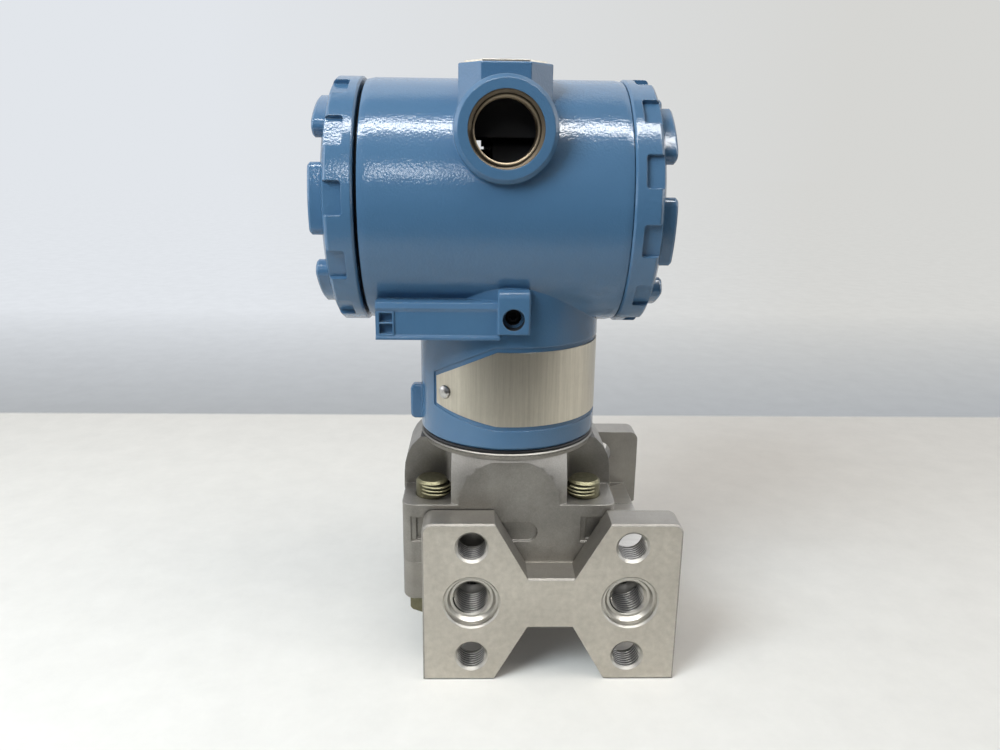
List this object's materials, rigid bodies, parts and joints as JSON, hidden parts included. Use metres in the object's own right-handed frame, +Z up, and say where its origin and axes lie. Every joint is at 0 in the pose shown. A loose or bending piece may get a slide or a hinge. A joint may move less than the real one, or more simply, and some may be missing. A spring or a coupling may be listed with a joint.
{
  "type": "differential pressure transmitter",
  "caption": "Differential pressure transmitter with a two-compartment electronics housing on a coplanar sensor module and an H-shaped process flange.",
  "frame": {"origin": "centre of the four tapped holes of the process interface, on the flange's front face, at the height of the two process ports", "axes": "X to the right seen from the process side, Y from the process face into the instrument, Z up along the neck"},
  "size_m": [0.1211, 0.1134, 0.2055],
  "materials": {
    "paint": "gloss polyurethane paint",
    "ground_steel": "machined stainless casting",
    "cast_steel": "bead-blasted stainless casting",
    "stainless": "turned",
    "plate_steel": "brushed sheet",
    "zinc": "yellow chromated",
    "elastomer": "matte",
    "graphite_ptfe": "satin",
    "black_plastic": "moulded",
    "grey_plastic": "moulded",
    "brass_plated": "nickel-plated"
  },
  "bodies": {
    "base": {"flange": "ground_steel", "process_seal_rings": "graphite_ptfe", "vent_valve_seats": "stainless", "sensor_module": "cast_steel", "isolator_diaphragms": "stainless", "flange_bolts": "zinc", "neck_seal_ring": "elastomer"},
    "housing": {"electronics_housing": "paint", "nameplate": "plate_steel", "nameplate_drive_screws": "stainless", "plate_pivot_screw": "stainless", "plate_lock_screw": "stainless", "terminal_block": "black_plastic", "terminal_screws": "brass_plated", "circuit_module": "grey_plastic", "circuit_screws": "stainless", "ribbon_cable": "grey_plastic", "inner_ground_screw": "brass_plated"},
    "terminal_seal": {"terminal_cover_ring": "elastomer"},
    "terminal_cap": {"terminal_cover": "paint"},
    "circuit_seal": {"circuit_cover_ring": "elastomer"},
    "circuit_cap": {"circuit_cover": "paint"},
    "set_screw": {"rotation_set_screw": "stainless"},
    "swing_plate": {"certification_plate": "plate_steel"},
    "zero_push": {"zero_button": "black_plastic"},
    "span_push": {"span_button": "black_plastic"},
    "vent_left": {"vent_stem_left": "stainless"},
    "vent_right": {"vent_stem_right": "stainless"}
  },
  "joints": [
    {"name": "housing_rotation", "type": "hinge", "parent": "base", "child": "housing", "pos_m": [-0.0143, 0.0428, 0.06], "axis": [0, 0, 1], "range_deg": [-180, 180]},
    {"name": "terminal_cover_turn", "type": "hinge", "parent": "housing", "child": "terminal_seal", "pos_m": [-0.0623, 0.0428, 0.1308], "axis": [-1, 0, 0], "range_deg": [0, 2160]},
    {"name": "terminal_cover_travel", "type": "slide", "parent": "terminal_seal", "child": "terminal_cap", "axis": [-1, 0, 0], "range_m": [0, 0.0128]},
    {"name": "circuit_cover_turn", "type": "hinge", "parent": "housing", "child": "circuit_seal", "pos_m": [0.0219, 0.0428, 0.1308], "axis": [1, 0, 0], "range_deg": [0, 2160]},
    {"name": "circuit_cover_travel", "type": "slide", "parent": "circuit_seal", "child": "circuit_cap", "axis": [1, 0, 0], "range_m": [0, 0.0128]},
    {"name": "set_screw_turn", "type": "hinge", "parent": "housing", "child": "set_screw", "pos_m": [-0.014, 0.018, 0.0964], "axis": [0, -1, 0], "range_deg": [0, 1080]},
    {"name": "plate_swing", "type": "hinge", "parent": "housing", "child": "swing_plate", "pos_m": [-0.0173, 0.0253, 0.174], "axis": [0, 0, 1], "range_deg": [0, 90]},
    {"name": "zero_press", "type": "slide", "parent": "housing", "child": "zero_push", "axis": [0, 0, -1], "range_m": [0, 0.0015], "stiffness_N_per_m": 500, "springref_m": -0.001},
    {"name": "span_press", "type": "slide", "parent": "housing", "child": "span_push", "axis": [0, 0, -1], "range_m": [0, 0.0015], "stiffness_N_per_m": 500, "springref_m": -0.001},
    {"name": "vent_left_turn", "type": "hinge", "parent": "base", "child": "vent_left", "pos_m": [-0.027, 0.1, 0], "axis": [0, 1, 0], "range_deg": [0, 720]},
    {"name": "vent_right_turn", "type": "hinge", "parent": "base", "child": "vent_right", "pos_m": [0.027, 0.1, 0], "axis": [0, 1, 0], "range_deg": [0, 720]}
  ],
  "couplings": [
    {"joint": "terminal_cover_travel", "follows": "terminal_cover_turn", "m_per_rad": 0.0003369},
    {"joint": "circuit_cover_travel", "follows": "circuit_cover_turn", "m_per_rad": 0.0003369}
  ]
}
